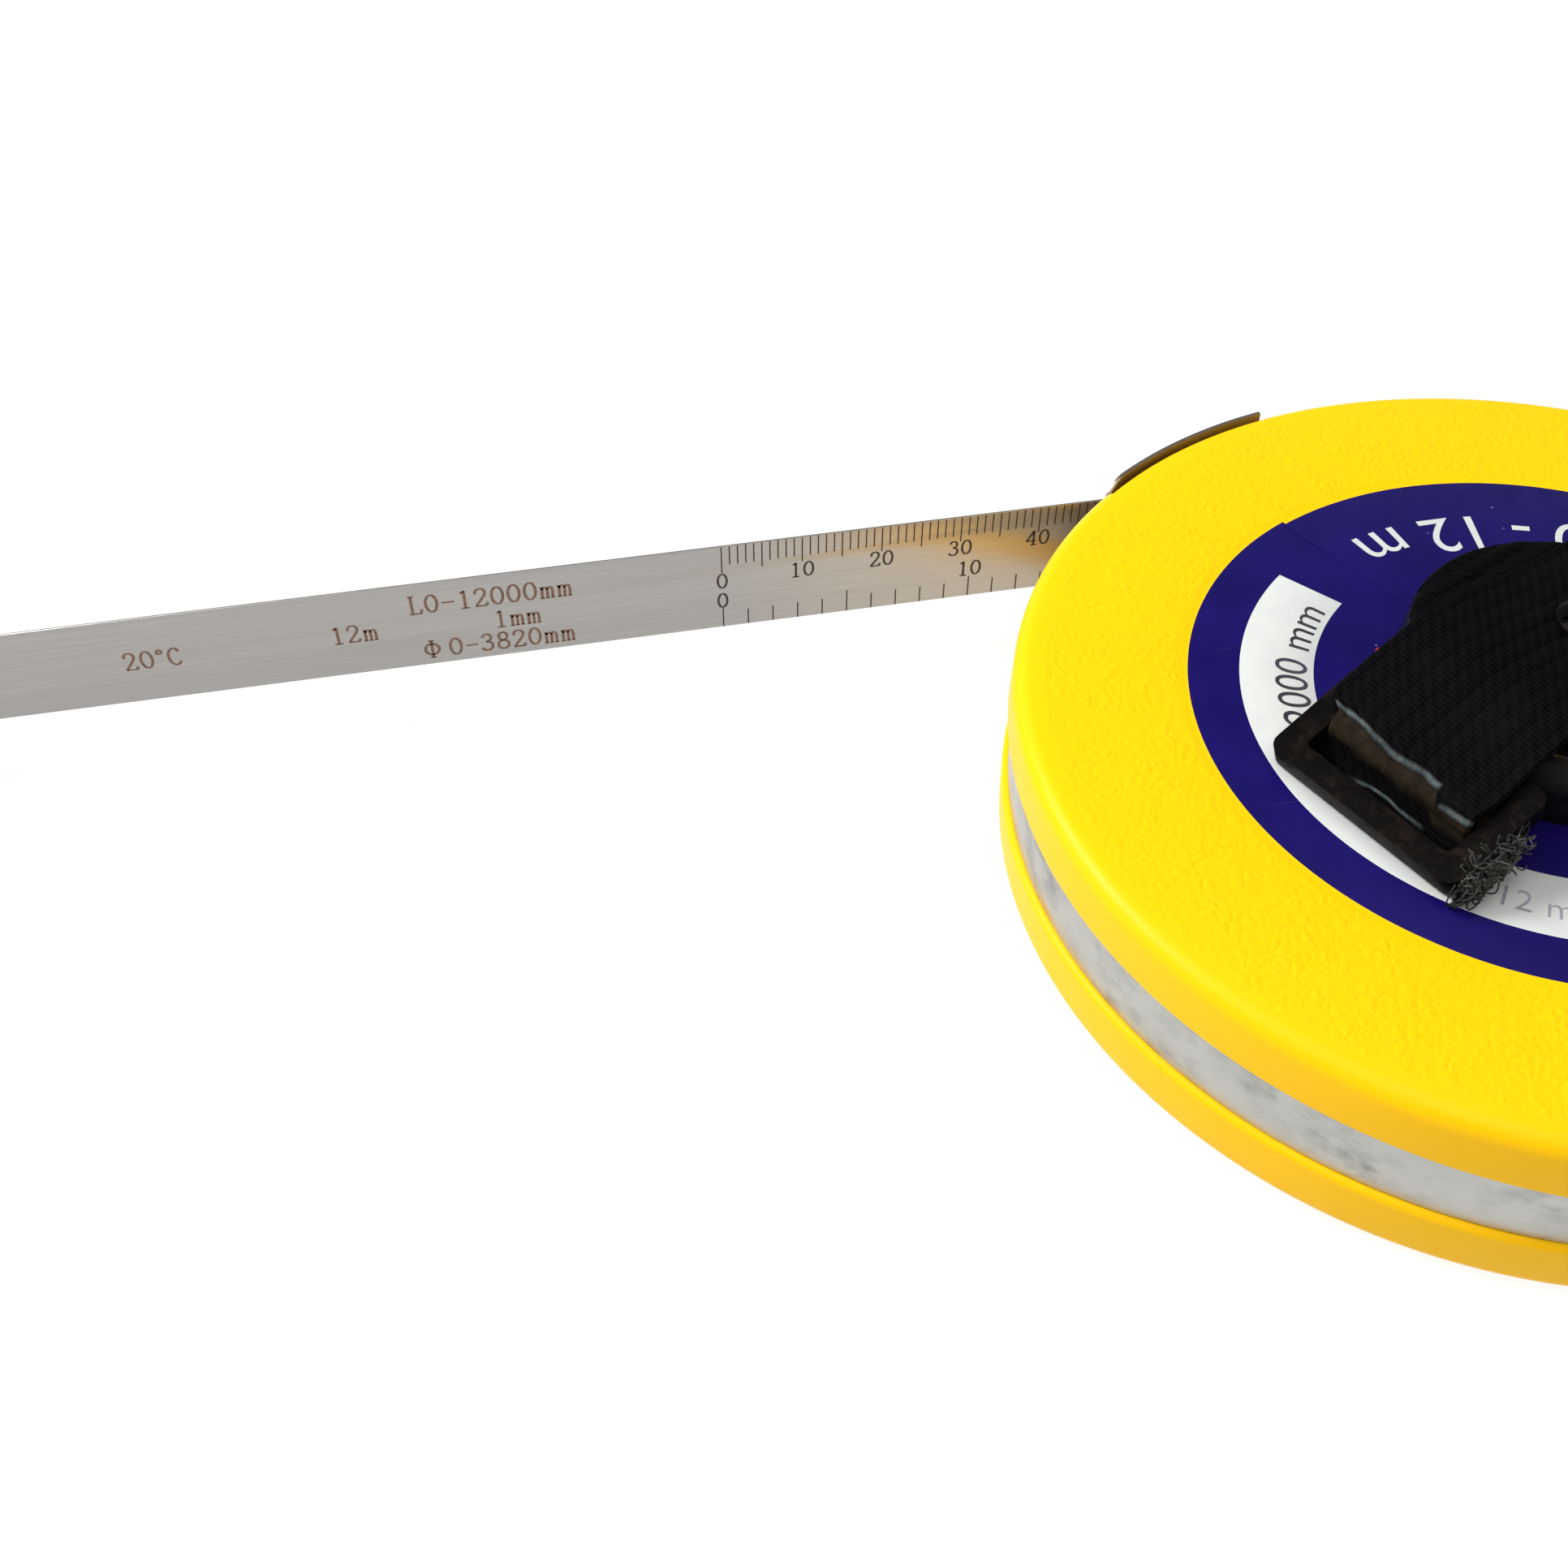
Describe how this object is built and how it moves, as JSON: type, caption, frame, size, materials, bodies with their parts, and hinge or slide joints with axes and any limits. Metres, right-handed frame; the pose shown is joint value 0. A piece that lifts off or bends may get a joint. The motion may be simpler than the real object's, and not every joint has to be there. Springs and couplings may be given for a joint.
{
  "type": "surveyor tape reel",
  "caption": "Round closed-case surveyor's steel diameter tape reel with webbing hand strap, buckle, steel rim band and folding winding crank.",
  "frame": {"origin": "centre of the fixed axle cap's flat end, on the drum axis, in the plane that the reel lies on", "axes": "+Z along the drum axis from the crank side to the strap side; the tape leaves the case towards -X on its +Y side"},
  "size_m": [0.2894, 0.1154, 0.0351],
  "materials": {
    "yellow_plastic": "satin, fine grain",
    "satin_steel": "satin",
    "polished_steel": "polished",
    "tape_steel": "brushed, brown etched graduations",
    "blue_label": "satin printed film",
    "black_gloss": "gloss",
    "black_plastic": "satin",
    "black_webbing": "woven, ribbed lengthwise",
    "grey_plastic": "matt"
  },
  "bodies": {
    "case": {"top_shell": "yellow_plastic", "bottom_shell": "yellow_plastic", "rim_band": "satin_steel", "mouth_plate": "satin_steel", "mouth_pin_outer": "polished_steel", "mouth_pin_inner": "polished_steel", "front_label": "blue_label", "case_screw_1": "polished_steel", "case_screw_2": "polished_steel", "case_screw_3": "polished_steel", "case_screw_4": "polished_steel", "axle": "polished_steel", "strap_boss": "black_gloss", "strap": "black_webbing", "buckle": "black_plastic", "strap_screw": "polished_steel"},
    "drum": {"drum_hub": "grey_plastic", "drum_flange_lower": "polished_steel", "drum_flange_upper": "polished_steel", "crank_dish": "black_plastic", "drum_rivet_1": "polished_steel", "drum_rivet_2": "polished_steel", "drum_rivet_3": "polished_steel", "drum_rivet_4": "polished_steel", "tape_coil": "tape_steel", "tape_anchor": "polished_steel", "crank_pin": "polished_steel"},
    "crank": {"crank_arm": "satin_steel", "knob_rivet": "polished_steel"},
    "knob": {"crank_knob": "black_gloss"},
    "tape": {"tape_blade": "tape_steel", "tape_end_fitting": "satin_steel", "tape_end_rivet_1": "polished_steel", "tape_end_rivet_2": "polished_steel"},
    "ring": {"end_ring": "polished_steel"}
  },
  "joints": [
    {"name": "drum_spin", "type": "hinge", "parent": "case", "child": "drum", "pos_m": [0, 0, 0.01125], "axis": [0, 0, 1], "continuous": true},
    {"name": "crank_fold", "type": "hinge", "parent": "drum", "child": "crank", "pos_m": [0, -0.018, 0.0017], "axis": [-1, 0, 0], "range_deg": [0, 180]},
    {"name": "knob_spin", "type": "hinge", "parent": "crank", "child": "knob", "pos_m": [0, 0.015, 0.01], "axis": [0, 0, 1], "continuous": true},
    {"name": "tape_pull", "type": "slide", "parent": "case", "child": "tape", "axis": [-1, 0, 0], "range_m": [0, 0.024]},
    {"name": "ring_swing", "type": "hinge", "parent": "tape", "child": "ring", "pos_m": [-0.196, 0.0491, 0.01125], "axis": [0, 0, 1], "range_deg": [-90, 90]}
  ]
}
